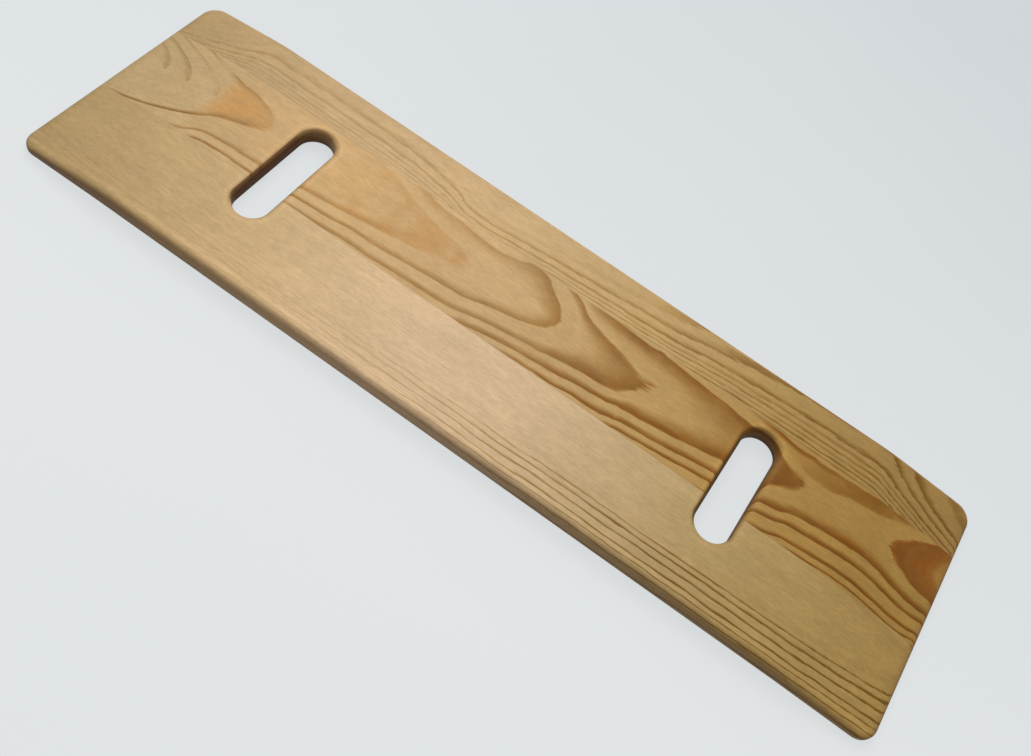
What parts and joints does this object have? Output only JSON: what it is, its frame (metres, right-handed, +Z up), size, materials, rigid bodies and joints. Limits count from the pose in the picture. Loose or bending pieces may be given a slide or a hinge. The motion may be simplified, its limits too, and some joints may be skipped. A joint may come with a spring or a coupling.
{
  "type": "wooden transfer board",
  "caption": "Flat pine sliding board with a hand slot across it near each end, both ends planed thin on top and all edges rounded.",
  "frame": {"origin": "centre of the underside, on the face that rests on the seats", "axes": "+X along the board's length, +Y across it towards the narrow stave, +Z up out of the planed top face"},
  "size_m": [0.76, 0.22, 0.016],
  "materials": {
    "pine_far": "clear satin lacquer",
    "pine_middle": "clear satin lacquer",
    "pine_near": "clear satin lacquer"
  },
  "bodies": {
    "root": {"stave_far": "pine_far", "stave_middle": "pine_middle", "stave_near": "pine_near"}
  },
  "joints": []
}
